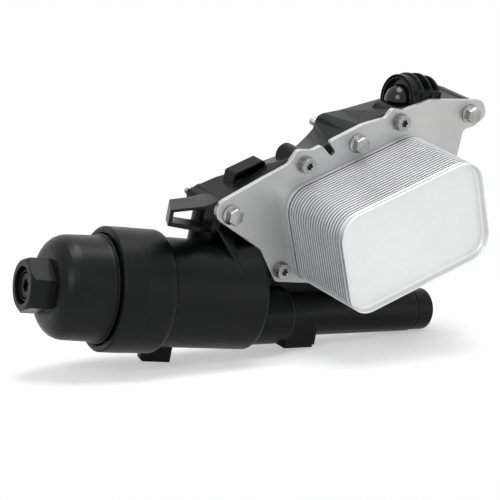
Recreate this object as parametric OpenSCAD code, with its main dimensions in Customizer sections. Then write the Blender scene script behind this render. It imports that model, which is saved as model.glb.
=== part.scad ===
// Oil filter housing with a stack-plate oil cooler, as bolted to an engine block.
// +Y points at the engine, +Z is up along the mounting face, +X runs away from the screw cap.
// The origin is where the middle long bolt's axis meets the engine face.

/* [Cooler] */
// Length of the cooler's plates
cooler_w = 115.4; // [100:0.2:118]
// Height of the cooler's plates
cooler_h = 71.8; // [62:0.2:74]
// Depth of the whole cooler, from the mounting plate to its front rim
cooler_depth = 62.4; // [40:0.2:80]
// Corner radius of the cooler's plates
cooler_corner_r = 16.4; // [12:0.2:20]
// Tilt of the cooler's long side against the filter's axis
cooler_tilt = 24.1; // [20:0.1:26]
// Number of nested dishes in the stack
dish_count = 20; // [12:1:24]
// How far each flared rim stands out over the wall below it
dish_flare = 1.3; // [0.6:0.1:2]
// Sheet thickness of the front dish
dish_sheet = 1.2; // [0.8:0.1:2]
// Depth of the sunk face in the front dish
dish_sink = 4.4; // [2:0.1:6]
// Radius of the oil and coolant passages between cooler and housing
port_r = 8; // [6:0.1:9]

/* [Mounting plate] */
// Thickness of the stamped plate
plate_t = 3; // [2:0.1:5]
// Radius of a short screw's hole in the plate
screw_hole_r = 3.3; // [3.1:0.05:4]

/* [Flange body] */
// Depth from the engine face to the back of the plate
body_depth = 34; // [28:0.5:40]
// Radius of a boss around a long bolt
bolt_boss_r = 9; // [8:0.1:11]
// Radius of a boss around a short screw
screw_boss_r = 7.6; // [6:0.1:9]
// Length of a short screw's boss behind the plate
screw_boss_len = 20; // [16:0.5:24]
// Wall left around the pockets of the engine face
body_wall = 3.6; // [2.5:0.1:5]
// Floor left behind the plate
body_floor = 6; // [4:0.2:10]
// Width of the ribs in the engine face
rib_w = 2.6; // [1.6:0.1:4]

/* [Long bolts] */
// Left bolt, across and up
bolt_left = [-91.2, -49.5]; // [-110:0.1:110]
// Right bolt, across and up
bolt_right = [91.6, 22.8]; // [-110:0.1:110]
// How far the lower bolt stands past the cooler's right end
bolt_low_out = 19.85; // [16:0.05:24]
// Height of the lower bolt over the cooler's lower edge
bolt_low_up = 4.8; // [2:0.1:8]
// Radius of a long bolt's shank
bolt_r = 3; // [2.5:0.1:4]
// How far a long bolt stands out of the engine face
bolt_out = 13.5; // [8:0.5:20]
// Width across the flats of a long bolt's head
bolt_flats = 10; // [8:0.5:13]
// Radius of the flange under a long bolt's head
bolt_flange_r = 6.6; // [6:0.1:8]
// Height of a long bolt's head with its flange
bolt_head_h = 6.4; // [5:0.1:9]

/* [Short screws] */
// Upper left screw, across and up
screw_left = [-39.8, -15.1]; // [-110:0.1:110]
// Upper right screw, across and up
screw_right = [32.2, 15.6]; // [-110:0.1:110]
// Lower left screw, across and up
screw_low = [-42, -87.6]; // [-110:0.1:110]
// Lower right screw, hidden by the cooler, across and up
screw_under = [31.2, -84.4]; // [-110:0.1:110]
// Radius of a short screw's shank
screw_r = 3; // [2.5:0.1:3.2]
// Length of a short screw under its head
screw_len = 18; // [12:0.5:22]
// Radius of a short screw's washer face
screw_flange_r = 6; // [5:0.1:7]
// Height of a short screw's head
screw_head_h = 5; // [4:0.1:7]

/* [Bowl] */
// Outer radius of the neck
neck_r = 40; // [38:0.1:43]
// Length of the neck
neck_len = 33.2; // [30:0.1:50]
// Outer radius of the tube
tube_r = 35.4; // [34.5:0.1:37]
// Length of neck and tube, to the first step
tube_len = 104; // [96:0.1:112]
// Bore radius of the bowl
bowl_bore_r = 31.4; // [30.6:0.1:31.6]
// Bore radius at the seal land
land_bore_r = 32.6; // [32:0.05:33]
// Bore radius of the threaded mouth
mouth_bore_r = 36; // [35.5:0.1:37]
// Depth of the threaded mouth
mouth_depth = 24; // [20:0.5:30]
// Lean of the bowl's cap end toward the engine
bowl_lean = 10.4; // [6:0.1:12]
// Thickness of the bowl's floor
bowl_floor = 4.6; // [3:0.1:8]

/* [Outlet pipe] */
// Outer radius of the thick root beside the bowl
root_r = 19.4; // [16.5:0.1:21]
// Length of the thick root
root_len = 36; // [28:0.5:42]
// Outer radius of the pipe
pipe_r = 14.9; // [13:0.1:16]
// Outer radius at the outlet's end
pipe_end_r = 14.2; // [12:0.1:16]
// Bore radius of the outlet's socket
socket_bore_r = 10.6; // [9:0.1:11.4]
// Depth of the outlet's socket
socket_depth = 24; // [18:0.5:30]
// Length of the collar at the outlet's end
collar_len = 13.5; // [10:0.5:18]

/* [Screw cap] */
// Width across the flats of the cap's hexagon
cap_flats = 32; // [27:0.5:36]
// Height of the hexagon
cap_hex_h = 15.2; // [10:0.1:18]
// Outer radius of the cap at its root
cap_r = 33.7; // [32.5:0.1:35]
// Distance from the neck's face to the hexagon's face
cap_out = 52.8; // [46:0.1:60]
// Radius of the cap's dome shoulder
cap_dome_r = 13.4; // [8:0.1:14]
// Wall of the cap
cap_wall = 3; // [2:0.1:4]
// Length of the cap's threaded skirt
skirt_len = 19.5; // [14:0.5:20]
// Radial gap between the skirt and the mouth
thread_gap = 0.3; // [0.25:0.05:0.5]
// Radius of the recess in the hexagon's face
hex_recess_r = 12.2; // [10:0.1:13]
// Depth of the recess in the hexagon's face
hex_recess_depth = 7; // [4:0.1:9]
// Radius of the drain plug's head
plug_head_r = 7.7; // [6.5:0.1:9]
// Radius of the drain plug's shank
plug_shank_r = 5; // [4:0.1:6]

/* [Filter element] */
// Outer radius of the pleats
pleat_r = 27.6; // [24:0.1:28.2]
// How far the pleat pack stands out of the neck's face, inside the cap
element_to = 18; // [14:0.5:19]
// Room between the pleat pack and the bowl's floor
element_room = 9.4; // [7:0.1:12]
// Number of pleats
pleat_count = 48; // [24:1:60]
// Depth of a pleat
pleat_depth = 12.4; // [8:0.1:13.5]
// Thickness of the element's end caps
end_cap_t = 3; // [2:0.1:5]
// Radius of the element's centre bore
element_bore_r = 11.8; // [11:0.1:13]
// Outer radius of the standpipe
standpipe_r = 11.2; // [9:0.1:11.5]
// Wall of the standpipe
standpipe_wall = 2; // [1.2:0.1:3]

/* [Valve socket] */
// Outer radius of the round valve socket
socket_r = 17; // [16.8:0.1:18]
// Radius of the valve socket's mouth
valve_mouth_r = 14.2; // [12:0.1:14.6]
// Radius of the piston
piston_r = 7; // [5:0.1:8]
// Travel of the piston
piston_travel = 6; // [2:0.5:8]

/* [Clip bracket] */
// Thickness of the bracket's upper leaf
clip_top_t = 1.8; // [1.2:0.1:3]
// Thickness of the bracket's other leaves
clip_leaf_t = 2.6; // [1.6:0.1:4]

/* [Fits] */
// Radial clearance of a sliding or turning fit
run_gap = 0.05; // [0.02:0.01:0.09]
// Clearance between faces that stay apart
free_gap = 0.3; // [0.3:0.05:0.6]
// Width of a rubber ring's section
ring_w = 3.2; // [2.4:0.1:3.6]

/* [Hidden] */

$fn = 96;
eps = 0.01;
side = 2;
round_steps = 6;

plate_back_y = -body_depth;
plate_front_y = plate_back_y - plate_t;
// Cooler corner next to the lower left screw, in the plate's plane
cooler_at = [-25, -100.6];

// A point of the cooler's lower edge, along it and out from it
function under_cooler(along, out) =
  cooler_at + along * [cos(cooler_tilt), sin(cooler_tilt)]
    + out * [sin(cooler_tilt), -cos(cooler_tilt)];

// The middle bolt is the origin of the part
bolt_middle = [0, 0];
bolt_low = under_cooler(cooler_w + bolt_low_out, -bolt_low_up);
long_bolts = [bolt_left, bolt_middle, bolt_right, bolt_low];
short_screws = [screw_left, screw_right, screw_low, screw_under];

// The neck's face on the filter axis
neck_at = [-167.7, -17.9, -105.4];
// Stations along the filter axis: positive toward the cap, negative into the bowl
tube_end = -tube_len;
bowl_bottom = tube_end + bowl_floor;
land_end = -mouth_depth - 12;

ports = [[22, 17], [22, cooler_h - 17], [cooler_w - 22, 17], [cooler_w - 22, cooler_h - 17]];

// Points of an outline

function unit(v) = v / norm(v);
function corner_half(p, q, s) = acos(unit(p - q) * unit(s - q)) / 2;
function corner_centre(p, q, s, r) =
  q + unit(unit(p - q) + unit(s - q)) * r / sin(corner_half(p, q, s));
function corner_start(p, q, s, r) = q + unit(p - q) * r / tan(corner_half(p, q, s));
function corner_end(p, q, s, r) = q + unit(s - q) * r / tan(corner_half(p, q, s));
function turn(a, b) = (b - a + 540) % 360 - 180;
function heading(v) = atan2(v[1], v[0]);
function arc_point(c, r, a) = c + r * [cos(a), sin(a)];
function rounded_corner(p, q, s, r) =
  let (c = corner_centre(p, q, s, r),
       a = heading(corner_start(p, q, s, r) - c),
       b = heading(corner_end(p, q, s, r) - c))
  [for (i = [0 : round_steps]) arc_point(c, r, a + turn(a, b) * i / round_steps)];
function xz(p) = [p[0], p[1]];
function rounded_outline(corners) =
  let (n = len(corners))
  [for (i = [0 : n - 1])
    each rounded_corner(xz(corners[(i + n - 1) % n]), xz(corners[i]),
      xz(corners[(i + 1) % n]), corners[i][2])];
function corner(p, r) = [p[0], p[1], r];

// Stamped plate: each corner across, up and its radius, running anticlockwise
plate_corners = [
  corner(bolt_left + [-21, 2.2], 8),
  corner([-62, -73.4], 3),
  corner(screw_low + [-2.6, -8.2], 5),
  corner(under_cooler(12.5, 2), 6),
  corner(under_cooler(43, 2), 4),
  corner(under_cooler(45, 14), 8),
  corner(under_cooler(70, 14), 8),
  corner(under_cooler(72, 2), 4),
  corner([bolt_low[0] - 7, bolt_low[1] - 12.5], 5),
  corner(bolt_low + [10.5, -10], 8),
  corner(bolt_low + [12.5, 9], 9),
  corner([bolt_low[0] - 7.4, bolt_low[1] + 14], 6),
  corner([bolt_right[0] - 2.5, bolt_right[1] - 11.4], 4),
  corner(bolt_right + [6.4, -8.9], 4),
  corner(bolt_right + [15.6, -1], 5),
  corner(bolt_right + [9.6, 9.7], 7),
  corner([55, 31.3], 8),
  corner(screw_right + [1.4, 8], 5),
  corner(screw_right + [-8.8, 8.6], 3.4),
  corner(screw_right + [-12.8, 2.5], 4),
  corner(bolt_middle + [0.5, 12.5], 14),
  corner([-24.2, 0.4], 2),
  corner([-16.4, -6.6], 1.9),
  corner([-19.8, -9.4], 1.9),
  corner([-29.4, -2.2], 2.4),
  corner(screw_left + [3.4, 9.6], 6),
  corner(screw_left + [-8.4, 9.6], 4),
  corner(screw_left + [-13.6, 0.1], 6)
];

// Flange body: its outline, a little proud of the sloping top that is then cut off it
body_corners = [
  corner(bolt_left + [-17.6, 1.6], 7),
  corner([-63, -70], 4),
  corner(screw_low + [-1.6, -6.6], 5),
  corner(under_cooler(12, 0), 6),
  corner(under_cooler(44, 0), 4),
  corner(under_cooler(47, 12), 7),
  corner(under_cooler(68, 12), 7),
  corner(under_cooler(71, 0), 4),
  corner([bolt_low[0] - 8, bolt_low[1] - 11], 5),
  corner(bolt_low + [9, -9], 7),
  corner(bolt_low + [10.5, 8], 8),
  corner([bolt_low[0] - 9, bolt_low[1] + 14], 6),
  corner([bolt_right[0] - 4, bolt_right[1] - 11.4], 4),
  corner(bolt_right + [6.4, -7.6], 4),
  corner(bolt_right + [12.4, -1], 5),
  corner(bolt_right + [8, 8.3], 6),
  corner([55, 29.3], 8),
  corner([27.2, 24], 8),
  corner(bolt_middle + [-4, 15], 8),
  corner([-40, -3], 8),
  corner([-54, -9.6], 8)
];

// Sloping top: points of the edge beside the plate and of the edge at the engine face
top_lines = [
  [[60, 29.5], [60, 25.6]],
  [[27.2, 22.2], [10.3, 12]],
  [bolt_middle + [1, 12], bolt_middle + [-3.6, 9.3]],
  [bolt_middle + [-3, 10.2], bolt_middle + [-7.4, 7.4]],
  [bolt_middle + [-9, 7], bolt_middle + [-9, 3.6]],
  [[-21, -1.6], [-9.4, -1.6]],
  [[-28, -4.4], [-14, -7.2]],
  [[-35.8, -7.1], [-20.4, -13.8]],
  [[-42, -9.2], [-34, -20.6]],
  [[-50.2, -11.7], [-82, -36.4]],
  [bolt_left + [-10, 6.1], bolt_left + [-10, 5]]
];

// Places and frames

// Local Z runs up the plate's normal line toward the viewer, local X and Y lie across and up
module from_plane(y) {
  translate([0, y, 0])
    rotate([90, 0, 0])
      children();
}

// Local Z runs along the filter axis toward the cap, from the neck's face
module on_filter_axis() {
  translate(neck_at)
    rotate([0, 0, 180 - bowl_lean])
      rotate([0, 90, 0])
        children();
}

// Local X runs along the cooler, local Y up it, local Z out of the plate's front face
module on_cooler() {
  from_plane(plate_front_y)
    translate([cooler_at[0], cooler_at[1], 0])
      rotate([0, 0, cooler_tilt])
        children();
}

module at_each(places) {
  for (p = places)
    translate([p[0], p[1], 0])
      children();
}

module ring(centre_r, section_r) {
  rotate_extrude()
    translate([centre_r, 0])
      circle(r = section_r, $fn = 32);
}

module tube(outer, inner, h) {
  difference() {
    cylinder(r = outer, h = h);
    translate([0, 0, -eps])
      cylinder(r = inner, h = h + side * eps);
  }
}

module hexagon(flats, h) {
  cylinder(r = flats / sqrt(3), h = h, $fn = 6);
}

// Six-lobed driving recess
module star_recess(r, depth) {
  lobe_r = r * 0.24;
  for (a = [0 : 60 : 300])
    rotate([0, 0, a])
      translate([r - lobe_r, 0, 0])
        cylinder(r = lobe_r, h = depth, $fn = 24);
  cylinder(r = r * 0.76, h = depth, $fn = 32);
}

// Cooler

port_step = 0.4;

module cooler_outline(inset) {
  r = cooler_corner_r - inset;
  across = cooler_w - cooler_corner_r * side;
  up = cooler_h - cooler_corner_r * side;
  translate([cooler_corner_r, inset])
    square([across, cooler_h - inset * side]);
  translate([inset, cooler_corner_r])
    square([cooler_w - inset * side, up]);
  for (dx = [0, across], dy = [0, up])
    translate([cooler_corner_r + dx, cooler_corner_r + dy])
      circle(r = r);
}

base_dish_h = 3.4;
front_dish_h = 6.4;
stack_h = cooler_depth - base_dish_h - front_dish_h;
dish_pitch = stack_h / dish_count;
dish_rim_h = dish_pitch * 0.45;

module cooler_base_dish() {
  color("gainsboro")
    on_cooler()
      difference() {
        linear_extrude(base_dish_h)
          cooler_outline(0);
        at_each(ports)
          translate([0, 0, -eps])
            cylinder(r = port_r - port_step, h = base_dish_h + side * eps);
      }
}

module cooler_dish_stack() {
  color("lightgray")
    on_cooler()
      translate([0, 0, base_dish_h])
        difference() {
          union() {
            linear_extrude(stack_h)
              cooler_outline(dish_flare);
            for (i = [0 : dish_count - 1])
              translate([0, 0, i * dish_pitch + dish_pitch - dish_rim_h])
                linear_extrude(dish_rim_h)
                  cooler_outline(0);
          }
          at_each(ports)
            translate([0, 0, -eps])
              cylinder(r = port_r - port_step * side, h = stack_h - dish_pitch);
        }
}

module cooler_front_dish() {
  color("whitesmoke")
    on_cooler()
      translate([0, 0, base_dish_h + stack_h])
        difference() {
          linear_extrude(front_dish_h)
            cooler_outline(0);
          translate([0, 0, front_dish_h - dish_sink])
            linear_extrude(dish_sink + eps)
              cooler_outline(dish_sheet);
        }
}

// Mounting plate

module cooler_mounting_plate() {
  color("silver")
    difference() {
      from_plane(plate_back_y)
        linear_extrude(plate_t)
          polygon(rounded_outline(plate_corners));
      from_plane(plate_back_y + eps) {
        at_each(long_bolts)
          cylinder(r = bolt_r + free_gap, h = plate_t + side * eps);
        at_each(short_screws)
          cylinder(r = screw_hole_r, h = plate_t + side * eps);
      }
      on_cooler()
        at_each(ports)
          translate([0, 0, -plate_t - eps])
            cylinder(r = port_r + port_step, h = plate_t + side * eps);
    }
}

// Housing

// Space above the flange body's sloping top
module above_top() {
  n = len(top_lines);
  high = bolt_right[1] + 40;
  front = [for (t = top_lines) [t[0][0], plate_back_y - eps, t[0][1]]];
  rear = [for (t = top_lines) [t[1][0], eps, t[1][1]]];
  lid = concat([for (p = front) [p[0], p[1], high]], [for (p = rear) [p[0], p[1], high]]);
  steps = [0 : n - 2];
  slopes = [for (i = steps) each [[n + i, i + 1, i], [n + i, n + i + 1, i + 1]]];
  walls = [for (i = steps) each [
    [2 * n + i + 1, 2 * n + i, i], [2 * n + i + 1, i, i + 1],
    [3 * n + i, 3 * n + i + 1, n + i + 1], [3 * n + i, n + i + 1, n + i]
  ]];
  ends = [
    [2 * n, 3 * n, n], [2 * n, n, 0],
    [4 * n - 1, 3 * n - 1, n - 1], [4 * n - 1, n - 1, 2 * n - 1]
  ];
  top = [for (i = steps) each [[3 * n + i, 2 * n + i, 2 * n + i + 1], [3 * n + i, 2 * n + i + 1, 3 * n + i + 1]]];
  polyhedron(concat(front, rear, lid), concat(slopes, walls, ends, top));
}

module flange_block() {
  difference() {
    from_plane(0)
      linear_extrude(body_depth)
        polygon(rounded_outline(body_corners));
    above_top();
  }
}

module bosses() {
  from_plane(0)
    at_each(long_bolts)
      cylinder(r = bolt_boss_r, h = body_depth);
  from_plane(plate_back_y + screw_boss_len)
    at_each(short_screws)
      cylinder(r = screw_boss_r, h = screw_boss_len);
}

neck_draft = 0.006;
tube_draft = 0.009;
cap_draft = 0.017;
neck_edge = 1.2;
neck_step_at = 16.5;
neck_step = 0.15;
shoulder_r = 5;
tube_round = 3;

function quarter(cx, cy, r, a0, a1) =
  [for (i = [0 : round_steps]) [cx + r * cos(a0 + (a1 - a0) * i / round_steps),
    cy + r * sin(a0 + (a1 - a0) * i / round_steps)]];

tube_end_r = tube_r - tube_draft * (tube_len - neck_len);
neck_back_r = neck_r - neck_step - neck_draft * neck_len;

// Outer skin of neck and tube, radius against station
bowl_skin = concat(
  [[0, tube_end]],
  quarter(tube_end_r - tube_round, tube_end + tube_round, tube_round, -90, 0),
  [[tube_r, -neck_len - shoulder_r]],
  quarter(neck_back_r - shoulder_r, -neck_len, shoulder_r, -70, 0),
  [[neck_r - neck_step, -neck_step_at], [neck_r, -neck_step_at + neck_step],
   [neck_r, -neck_edge], [neck_r - neck_edge, 0], [0, 0]]
);

module bowl_outside() {
  on_filter_axis()
    rotate_extrude()
      polygon(bowl_skin);
}

module bowl_inside() {
  on_filter_axis() {
    translate([0, 0, -mouth_depth])
      cylinder(r = mouth_bore_r, h = mouth_depth + eps);
    translate([0, 0, land_end])
      cylinder(r = land_bore_r, h = -land_end);
    translate([0, 0, bowl_bottom])
      cylinder(r = bowl_bore_r, h = -bowl_bottom);
  }
}

// Outlet pipe, from inside the bowl's end down to its end collar

pipe_from = [-76, -32.6, -120.8];
pipe_to = [90.9, -34, -118.8];
pipe_run = pipe_to - pipe_from;
pipe_len = norm(pipe_run);
pipe_yaw = atan2(pipe_run[1], pipe_run[0]);
pipe_drop = atan2(-pipe_run[2], norm([pipe_run[0], pipe_run[1]]));
root_round = 2.6;
collar_groove_w = 2.2;
collar_groove = 0.9;

module on_pipe() {
  translate(pipe_from)
    rotate([0, 0, pipe_yaw])
      rotate([0, 90 + pipe_drop, 0])
        children();
}

module pipe_outside() {
  collar_at = pipe_len - collar_len;
  root_end = root_from + root_len;
  on_pipe() {
    rotate_extrude()
      polygon(concat([[0, 0], [root_r, 0]], quarter(root_r - root_round, root_end - root_round, root_round, 0, 70),
        [[pipe_r + 0.5, root_end + 1], [pipe_r, root_end + 8], [pipe_r, collar_at - collar_groove_w],
        [pipe_r - collar_groove, collar_at - collar_groove_w],
        [pipe_r - collar_groove, collar_at], [pipe_end_r, collar_at],
        [pipe_end_r, pipe_len - 1.4], [pipe_end_r - 1.4, pipe_len], [0, pipe_len]]));
  }
}

root_from = 8;
pipe_bore_r = socket_bore_r - ring_w + 1;
module pipe_inside() {
  on_pipe() {
    translate([0, 0, pipe_len - socket_depth])
      cylinder(r = socket_bore_r, h = socket_depth + eps);
    translate([0, 0, pipe_len - socket_depth - ring_w])
      cylinder(r = socket_bore_r + 1, h = ring_w);
    translate([0, 0, root_from])
      cylinder(r = pipe_bore_r, h = pipe_len - root_from - socket_depth);
  }
}

// Window for the spring clip, across the outlet just before the collar
clip_slot_w = 3.4;
clip_slot_at = pipe_len - collar_len - 6;
module clip_slot() {
  on_pipe()
    translate([-pipe_r * side, socket_bore_r + ring_w / side, clip_slot_at - clip_slot_w / side])
      cube([pipe_r * side * side, pipe_r, clip_slot_w]);
}

// Column between the tube and the left bolt's boss
column_r = 11;
module column() {
  translate([-93.5, -17, neck_at[2]])
    cylinder(r = column_r, h = bolt_left[1] - neck_at[2]);
}

// Thin gusset from the left bolt's boss down on to the tube
gusset_r = 1.1;
module gusset() {
  hull() {
    translate([-97.6, plate_back_y + 0.6, -59.6])
      sphere(r = gusset_r, $fn = 16);
    translate([-88, -59.2, -83.2])
      sphere(r = gusset_r, $fn = 16);
    translate([-84, plate_back_y + 8, -62])
      sphere(r = gusset_r, $fn = 16);
    translate([-80, -44, -84])
      sphere(r = gusset_r, $fn = 16);
  }
}

// Wall between the pipe and the flange body
saddle_from = -62;
saddle_to = 14;
saddle_top = -78;
saddle_back = 3;
module saddle() {
  translate([saddle_from, plate_back_y + saddle_back, pipe_from[2]])
    cube([saddle_to - saddle_from, body_depth - saddle_back * side, saddle_top - pipe_from[2]]);
}

// Web that closes the corner between column, flange body and tube
web_t = 8;
web_from = -94;
web_to = -64;
web_top = -52;
module column_web() {
  translate([web_from, plate_back_y + web_t, neck_at[2]])
    cube([web_to - web_from, web_t, web_top - neck_at[2]]);
}

// Foot tab under the neck's shoulder
tab_w = 21.4;
tab_h = 7;
tab_t = 4.8;
tab_at = -57.2;
tab_corner = 2;
module foot_tab() {
  on_filter_axis()
    translate([0, tab_t / side, tab_at])
      rotate([90, 0, 0])
        linear_extrude(tab_t)
          polygon([[tube_r - side, 0], [neck_r + tab_h, 0], [neck_r + tab_h, tab_w - tab_corner],
            [neck_r + tab_h - tab_corner, tab_w], [tube_r - side, tab_w]]);
}

// Lug across the underside of the pipe, with a raised pad in front
lug_w = 23;
lug_at = 41.6;
lug_drop = 3.6;
lug_back = 12;
lug_step = 2.6;
lug_pad = 1.2;
module hanging_lug() {
  on_pipe() {
    translate([0, lug_pad - pipe_r, lug_at - lug_step])
      cube([pipe_r + lug_drop - lug_pad, pipe_r + lug_back - lug_pad, lug_w + lug_step * side]);
    translate([0, -pipe_r, lug_at])
      cube([pipe_r + lug_drop, pipe_r + lug_back - lug_pad, lug_w]);
  }
}

// Clip bracket beside the left bolt
clip_z = -42;
clip_plan = [[-148.7, -50], [-117.9, -42.8], [-102.6, -34], [-93, -34], [-93, -17], [-101.2, -16.9],
  [-118.2, -24.2], [-135.8, -29]];
clip_drop_left = 10.4;
clip_drop_right = 21.6;
clip_left_x = clip_plan[0][0];
clip_right_x = -96;

module clip_side(x0, top, extra) {
  drop = (clip_drop_right - clip_drop_left) / (clip_right_x - clip_left_x);
  from_plane(0)
    linear_extrude(60)
      polygon([[x0, clip_z - top], [clip_right_x, clip_z - top],
        [clip_right_x, clip_z - clip_drop_right + extra],
        [x0, clip_z - clip_drop_left + extra - (x0 - clip_left_x) * drop]]);
}

module clip_bracket() {
  difference() {
    intersection() {
      translate([0, 0, clip_z - clip_drop_right])
        linear_extrude(clip_drop_right)
          polygon(clip_plan);
      clip_side(clip_left_x, 0, 0);
    }
    intersection() {
      translate([clip_leaf_t, 0, clip_z - clip_drop_right])
        linear_extrude(clip_drop_right)
          polygon([[-158, -66], [-105, -66], [-105, 0], [-118, 0]]);
      clip_side(clip_left_x, clip_top_t, clip_leaf_t);
    }
  }
}

// Hooded pocket on the body's upper edge: an arch that is open toward the plate
hood_front_y = -23;
hood_depth = 10.8;
hood_wall = 1.6;
hood_left = -84.2;
hood_right = -59.4;
hood_top_left = -26.6;
hood_top_right = -16.8;
hood_shoulder = -22;
hood_floor_left = -31.8;
hood_floor_right = -24.4;
hood_foot = -42;
hood_foot_r = 0.3;
hood_r = 2.4;
hood_slant = 3.4;

// Outline of the arch, set in by its wall
function hood_corners(wall, foot_left, foot_right) = [
  corner([hood_left + wall, foot_left], hood_foot_r),
  corner([hood_right - wall, foot_right], hood_foot_r),
  corner([hood_right - wall, hood_shoulder - wall], hood_r - wall),
  corner([hood_right - hood_slant - wall / side, hood_top_right - wall], hood_r - wall),
  corner([hood_left + wall, hood_top_left - wall], hood_r - wall)
];

module hood_outside() {
  from_plane(hood_front_y + hood_depth)
    linear_extrude(hood_depth)
      polygon(rounded_outline(hood_corners(0, hood_foot, hood_foot)));
}

module hood_inside() {
  from_plane(hood_front_y + hood_depth - hood_wall)
    linear_extrude(hood_depth)
      polygon(rounded_outline(hood_corners(hood_wall, hood_floor_left, hood_floor_right)));
}

// Round valve socket on the body's upper right, with discs behind its rim
valve_room = 0.2;
valve_at = [42.5, plate_back_y + socket_r + valve_room, 25.2];
valve_floor = 2;
plug_body_h = 9;
plug_dome_r = 10.4;
dome_room = 1;
plug_flat = 3;
plug_groove_at = 4.6;
plug_r = valve_mouth_r - run_gap;
plug_groove_r = valve_mouth_r - ring_w;
piston_len = 5.4;
piston_back = 2;
piston_wall = 1.6;
piston_end = 2;
piston_from = plug_body_h + piston_travel + piston_back;
valve_len = piston_from + piston_len + valve_floor;
ledge_from = 2.4;
socket_collar_len = 7.4;
socket_waist = 4.6;
face_groove_w = 1;
face_groove_depth = 3;
sleeve_edge = 1.1;
disc_r = socket_r + 1.4;
disc_t = 1.5;
disc_pitch = 7.9;
ledge_h = 10.6;
ledge_depth = 6;
ledge_slot_w = 1.6;
ledge_slot_h = 4.6;
ledge_slot_depth = 2;

module on_valve() {
  translate(valve_at)
    rotate([0, 90, 0])
      children();
}

module valve_socket() {
  difference() {
    on_valve() {
      cylinder(r = socket_r, h = socket_collar_len);
      cylinder(r = socket_r - socket_waist, h = valve_len);
      for (i = [0 : 1])
        translate([0, 0, socket_collar_len + i * disc_pitch])
          cylinder(r = disc_r, h = disc_t);
      translate([0, 0, valve_len - disc_t])
        cylinder(r = socket_r, h = disc_t);
    }
    translate([valve_at[0] - eps, plate_back_y - socket_r, valve_at[2] - disc_r])
      cube([valve_len + eps * side, socket_r, disc_r * side]);
  }
  translate([valve_at[0] + ledge_from, plate_back_y + 1, valve_at[2] - socket_r])
    cube([valve_len - ledge_from, body_depth + valve_at[1], socket_r]);
}

// Ledge in front of the discs, with short upright slots
module socket_ledge() {
  difference() {
    translate([valve_at[0] + ledge_from, plate_back_y + 0.8, valve_at[2] - ledge_h])
      cube([valve_len - ledge_from - 1, ledge_depth, ledge_h * side]);
    for (i = [0 : 2])
      translate([valve_at[0] + socket_collar_len - disc_t + i * disc_pitch, plate_back_y, valve_at[2] + ledge_h
        - 1.2 - ledge_slot_h])
        cube([ledge_slot_w, ledge_slot_depth, ledge_slot_h]);
  }
}

module valve_bore() {
  on_valve() {
    translate([0, 0, -eps])
      tube(valve_mouth_r + sleeve_edge + face_groove_w, valve_mouth_r + sleeve_edge, face_groove_depth);
    translate([0, 0, -plug_dome_r])
      cylinder(r = plug_dome_r + dome_room, h = plug_dome_r + eps);
    translate([0, 0, -eps])
      cylinder(r = valve_mouth_r, h = plug_body_h + eps);
    cylinder(r = piston_r + run_gap, h = valve_len - valve_floor);
  }
}

// Pockets in the engine face: across, up, width, height; clear of bosses and ports
pocket_boxes = [
  [-60, -68, 20, 38],
  [-14, -62, 32, 39],
  [22, -66, 18, 40],
  [53, -28, 27, 34],
  [-77, -55, 13, 15]
];
port_wall = 3;
pocket_depth = body_depth - body_floor;

// Ribs cross the pockets, a little below the engine face
rib_sunk = 3;
module engine_pockets() {
  from_plane(eps)
    for (b = pocket_boxes)
      difference() {
        translate([b[0], b[1], 0])
          cube([b[2], b[3], pocket_depth]);
        translate([b[0] - eps, b[1] + b[3] / side - rib_w / side, rib_sunk])
          cube([b[2] + eps * side, rib_w, pocket_depth]);
      }
}

module body_holes() {
  from_plane(eps)
    at_each(long_bolts)
      cylinder(r = sleeve_r, h = body_depth + side * eps);
  from_plane(plate_front_y + screw_len + 1)
    at_each(short_screws)
      cylinder(r = screw_r + run_gap, h = screw_len);
  from_plane(eps)
    at_each(dowels)
      cylinder(r = dowel_r, h = dowel_in + eps);
  on_cooler()
    at_each(ports) {
      translate([0, 0, -plate_t - body_depth - eps])
        cylinder(r = port_r, h = body_depth + side * eps);
      translate([0, 0, -plate_t - body_depth - eps])
        cylinder(r = port_r + port_wall, h = gasket_t + eps);
    }
}

module seal_grooves() {
  on_cooler()
    at_each(ports)
      translate([0, 0, -plate_t - seal_h])
        tube(seal_outer_r, seal_inner_r, seal_h + eps);
}

module filter_housing() {
  color([0.14, 0.14, 0.15])
    difference() {
      union() {
        flange_block();
        bosses();
        bowl_outside();
        pipe_outside();
        column();
        column_web();
        saddle();
        gusset();
        foot_tab();
        hanging_lug();
        clip_bracket();
        hood_outside();
        valve_socket();
        socket_ledge();
      }
      bowl_inside();
      pipe_inside();
      standpipe_seat();
      clip_slot();
      valve_bore();
      hood_inside();
      engine_pockets();
      body_holes();
      seal_grooves();
    }
}

// Bolts, screws and sleeves

sleeve_wall = 1.6;
sleeve_r = bolt_r + free_gap + sleeve_wall;

shank_relief = 0.2;
tip_chamfer = 0.8;
module long_bolt() {
  from_plane(bolt_out)
    cylinder(r1 = bolt_r - tip_chamfer, r2 = bolt_r, h = tip_chamfer);
  from_plane(bolt_out - tip_chamfer)
    cylinder(r = bolt_r, h = bolt_out - tip_chamfer);
  from_plane(eps)
    cylinder(r = bolt_r - shank_relief, h = eps - plate_front_y);
  from_plane(plate_front_y) {
    cylinder(r1 = bolt_flange_r, r2 = bolt_flats / side, h = 1.8);
    hexagon(bolt_flats, bolt_head_h);
  }
}

module long_bolts_upper() {
  color("gainsboro")
    for (p = [bolt_left, bolt_middle, bolt_right])
      translate([p[0], 0, p[1]])
        long_bolt();
}

module long_bolt_lower() {
  color("gainsboro")
    translate([bolt_low[0], 0, bolt_low[1]])
      long_bolt();
}

module compression_sleeves() {
  color("darkgray")
    from_plane(0)
      at_each(long_bolts)
        tube(sleeve_r, bolt_r + free_gap, body_depth);
}

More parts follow.
